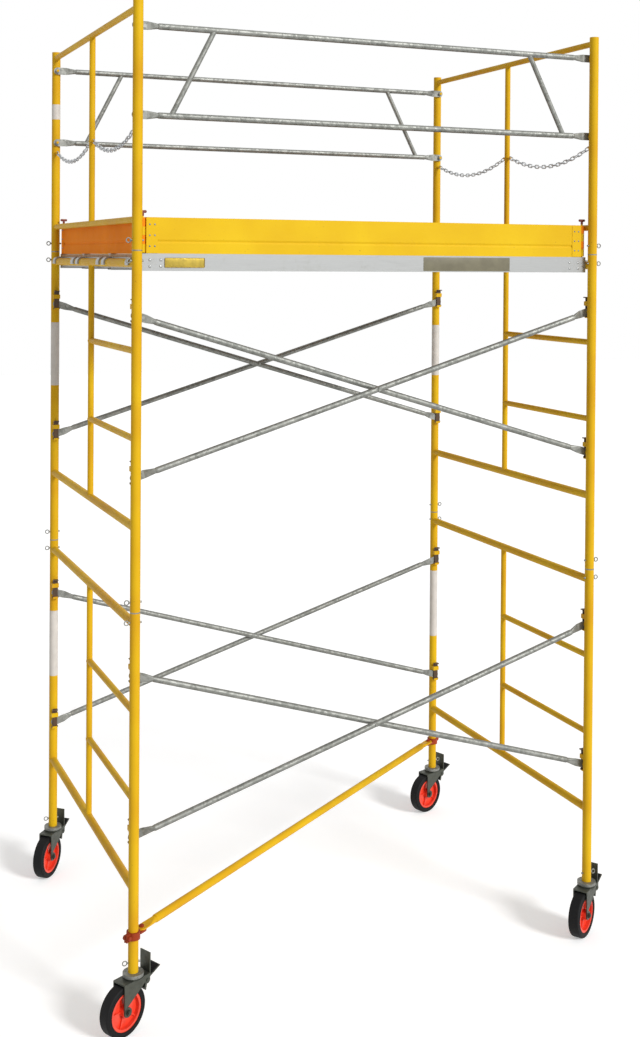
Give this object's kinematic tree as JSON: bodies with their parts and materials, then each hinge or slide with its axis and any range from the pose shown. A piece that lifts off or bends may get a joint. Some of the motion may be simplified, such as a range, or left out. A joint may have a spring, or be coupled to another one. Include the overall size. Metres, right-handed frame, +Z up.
{
  "type": "rolling frame scaffold tower",
  "caption": "Two-lift rolling scaffold tower with ladder end frames, cross braces, planked deck with toe boards, guard rails and chains, on braked swivel casters.",
  "frame": {"origin": "on the floor, midway between the four legs", "axes": "+X along the bay from the left end frame to the right one, +Y from front to back across the end frames, +Z up"},
  "size_m": [2.4046, 1.7385, 4.09],
  "materials": {
    "frame_paint": "gloss enamel, safety yellow turning orange",
    "toe_paint": "gloss enamel, safety yellow",
    "galvanised": "galvanised, dull spangle",
    "lock_steel": "dark pressed steel",
    "plank_aluminium": "mill finish, lightly scuffed",
    "deck_plywood": "plywood, oiled",
    "clamp_paint": "red-brown paint, satin",
    "fork_steel": "zinc plated pressed steel, dull",
    "wheel_core": "moulded, semi-gloss",
    "tyre_rubber": "solid rubber, matte"
  },
  "bodies": {
    "tower": {"ladder_frame_lower_left": "frame_paint", "ladder_frame_lower_right": "frame_paint", "ladder_frame_upper_left": "frame_paint", "ladder_frame_upper_right": "frame_paint", "guard_frame_left": "frame_paint", "guard_frame_right": "frame_paint", "cross_brace_lower_front": "galvanised", "cross_brace_lower_back": "galvanised", "cross_brace_upper_front": "galvanised", "cross_brace_upper_back": "galvanised", "guardrail_front": "galvanised", "guardrail_back": "galvanised", "chain_left": "galvanised", "chain_right": "galvanised", "toe_board_front": "toe_paint", "toe_board_back": "toe_paint", "toe_board_left": "toe_paint", "toe_board_right": "toe_paint", "plank_frame_front": "plank_aluminium", "plank_frame_middle": "plank_aluminium", "plank_frame_back": "plank_aluminium", "plank_deck_front": "deck_plywood", "plank_deck_middle": "deck_plywood", "plank_deck_back": "deck_plywood", "diagonal_brace": "frame_paint", "diagonal_clamps": "clamp_paint", "coupling_pins": "galvanised", "caster_stems": "galvanised"},
    "fork_front_left": {"caster_fork_front_left": "fork_steel"},
    "pedal_front_left": {"caster_pedal_front_left": "fork_steel"},
    "wheel_front_left": {"wheel_hub_front_left": "wheel_core", "wheel_tyre_front_left": "tyre_rubber"},
    "fork_back_left": {"caster_fork_back_left": "fork_steel"},
    "pedal_back_left": {"caster_pedal_back_left": "fork_steel"},
    "wheel_back_left": {"wheel_hub_back_left": "wheel_core", "wheel_tyre_back_left": "tyre_rubber"},
    "fork_back_right": {"caster_fork_back_right": "fork_steel"},
    "pedal_back_right": {"caster_pedal_back_right": "fork_steel"},
    "wheel_back_right": {"wheel_hub_back_right": "wheel_core", "wheel_tyre_back_right": "tyre_rubber"},
    "fork_front_right": {"caster_fork_front_right": "fork_steel"},
    "pedal_front_right": {"caster_pedal_front_right": "fork_steel"},
    "wheel_front_right": {"wheel_hub_front_right": "wheel_core", "wheel_tyre_front_right": "tyre_rubber"},
    "lock_lower_front_left_low": {"lock_lower_front_left_low": "lock_steel"},
    "lock_lower_front_left_high": {"lock_lower_front_left_high": "lock_steel"},
    "lock_lower_back_left_low": {"lock_lower_back_left_low": "lock_steel"},
    "lock_lower_back_left_high": {"lock_lower_back_left_high": "lock_steel"},
    "lock_lower_back_right_low": {"lock_lower_back_right_low": "lock_steel"},
    "lock_lower_back_right_high": {"lock_lower_back_right_high": "lock_steel"},
    "lock_lower_front_right_low": {"lock_lower_front_right_low": "lock_steel"},
    "lock_lower_front_right_high": {"lock_lower_front_right_high": "lock_steel"},
    "lock_upper_front_left_low": {"lock_upper_front_left_low": "lock_steel"},
    "lock_upper_front_left_high": {"lock_upper_front_left_high": "lock_steel"},
    "lock_upper_back_left_low": {"lock_upper_back_left_low": "lock_steel"},
    "lock_upper_back_left_high": {"lock_upper_back_left_high": "lock_steel"},
    "lock_upper_back_right_low": {"lock_upper_back_right_low": "lock_steel"},
    "lock_upper_back_right_high": {"lock_upper_back_right_high": "lock_steel"},
    "lock_upper_front_right_low": {"lock_upper_front_right_low": "lock_steel"},
    "lock_upper_front_right_high": {"lock_upper_front_right_high": "lock_steel"}
  },
  "joints": [
    {"name": "swivel_front_left", "type": "hinge", "parent": "tower", "child": "fork_front_left", "pos_m": [-1.067, -0.762, 0.212], "axis": [0, 0, 1], "continuous": true},
    {"name": "wheel_spin_front_left", "type": "hinge", "parent": "fork_front_left", "child": "wheel_front_left", "pos_m": [-1.116, -0.78697, 0.1016], "axis": [0.454, -0.891, 0], "continuous": true},
    {"name": "brake_front_left", "type": "hinge", "parent": "fork_front_left", "child": "pedal_front_left", "pos_m": [-1.02423, -0.74021, 0.19], "axis": [-0.454, 0.891, 0], "range_deg": [0, 13]},
    {"name": "swivel_back_left", "type": "hinge", "parent": "tower", "child": "fork_back_left", "pos_m": [-1.067, 0.762, 0.212], "axis": [0, 0, 1], "continuous": true},
    {"name": "wheel_spin_back_left", "type": "hinge", "parent": "fork_back_left", "child": "wheel_back_left", "pos_m": [-1.10308, 0.72049, 0.1016], "axis": [0.7547, -0.6561, 0], "continuous": true},
    {"name": "brake_back_left", "type": "hinge", "parent": "fork_back_left", "child": "pedal_back_left", "pos_m": [-1.03551, 0.79823, 0.19], "axis": [-0.7547, 0.6561, 0], "range_deg": [0, 13]},
    {"name": "swivel_back_right", "type": "hinge", "parent": "tower", "child": "fork_back_right", "pos_m": [1.067, 0.762, 0.212], "axis": [0, 0, 1], "continuous": true},
    {"name": "wheel_spin_back_right", "type": "hinge", "parent": "fork_back_right", "child": "wheel_back_right", "pos_m": [1.01565, 0.74229, 0.1016], "axis": [0.3584, -0.9336, 0], "continuous": true},
    {"name": "brake_back_right", "type": "hinge", "parent": "fork_back_right", "child": "pedal_back_right", "pos_m": [1.11181, 0.7792, 0.19], "axis": [-0.3584, 0.9336, 0], "range_deg": [0, 13]},
    {"name": "swivel_front_right", "type": "hinge", "parent": "tower", "child": "fork_front_right", "pos_m": [1.067, -0.762, 0.212], "axis": [0, 0, 1], "continuous": true},
    {"name": "wheel_spin_front_right", "type": "hinge", "parent": "fork_front_right", "child": "wheel_front_right", "pos_m": [1.0214, -0.79276, 0.1016], "axis": [0.5592, -0.829, 0], "continuous": true},
    {"name": "brake_front_right", "type": "hinge", "parent": "fork_front_right", "child": "pedal_front_right", "pos_m": [1.10679, -0.73516, 0.19], "axis": [-0.5592, 0.829, 0], "range_deg": [0, 13]},
    {"name": "lock_lower_front_left_low_slide", "type": "slide", "parent": "tower", "child": "lock_lower_front_left_low", "axis": [0, 0, 1], "range_m": [0, 0.044]},
    {"name": "lock_lower_front_left_high_slide", "type": "slide", "parent": "tower", "child": "lock_lower_front_left_high", "axis": [0, 0, 1], "range_m": [0, 0.044]},
    {"name": "lock_lower_back_left_low_slide", "type": "slide", "parent": "tower", "child": "lock_lower_back_left_low", "axis": [0, 0, 1], "range_m": [0, 0.044]},
    {"name": "lock_lower_back_left_high_slide", "type": "slide", "parent": "tower", "child": "lock_lower_back_left_high", "axis": [0, 0, 1], "range_m": [0, 0.044]},
    {"name": "lock_lower_back_right_low_slide", "type": "slide", "parent": "tower", "child": "lock_lower_back_right_low", "axis": [0, 0, 1], "range_m": [0, 0.044]},
    {"name": "lock_lower_back_right_high_slide", "type": "slide", "parent": "tower", "child": "lock_lower_back_right_high", "axis": [0, 0, 1], "range_m": [0, 0.044]},
    {"name": "lock_lower_front_right_low_slide", "type": "slide", "parent": "tower", "child": "lock_lower_front_right_low", "axis": [0, 0, 1], "range_m": [0, 0.044]},
    {"name": "lock_lower_front_right_high_slide", "type": "slide", "parent": "tower", "child": "lock_lower_front_right_high", "axis": [0, 0, 1], "range_m": [0, 0.044]},
    {"name": "lock_upper_front_left_low_slide", "type": "slide", "parent": "tower", "child": "lock_upper_front_left_low", "axis": [0, 0, 1], "range_m": [0, 0.044]},
    {"name": "lock_upper_front_left_high_slide", "type": "slide", "parent": "tower", "child": "lock_upper_front_left_high", "axis": [0, 0, 1], "range_m": [0, 0.044]},
    {"name": "lock_upper_back_left_low_slide", "type": "slide", "parent": "tower", "child": "lock_upper_back_left_low", "axis": [0, 0, 1], "range_m": [0, 0.044]},
    {"name": "lock_upper_back_left_high_slide", "type": "slide", "parent": "tower", "child": "lock_upper_back_left_high", "axis": [0, 0, 1], "range_m": [0, 0.044]},
    {"name": "lock_upper_back_right_low_slide", "type": "slide", "parent": "tower", "child": "lock_upper_back_right_low", "axis": [0, 0, 1], "range_m": [0, 0.044]},
    {"name": "lock_upper_back_right_high_slide", "type": "slide", "parent": "tower", "child": "lock_upper_back_right_high", "axis": [0, 0, 1], "range_m": [0, 0.044]},
    {"name": "lock_upper_front_right_low_slide", "type": "slide", "parent": "tower", "child": "lock_upper_front_right_low", "axis": [0, 0, 1], "range_m": [0, 0.044]},
    {"name": "lock_upper_front_right_high_slide", "type": "slide", "parent": "tower", "child": "lock_upper_front_right_high", "axis": [0, 0, 1], "range_m": [0, 0.044]}
  ]
}
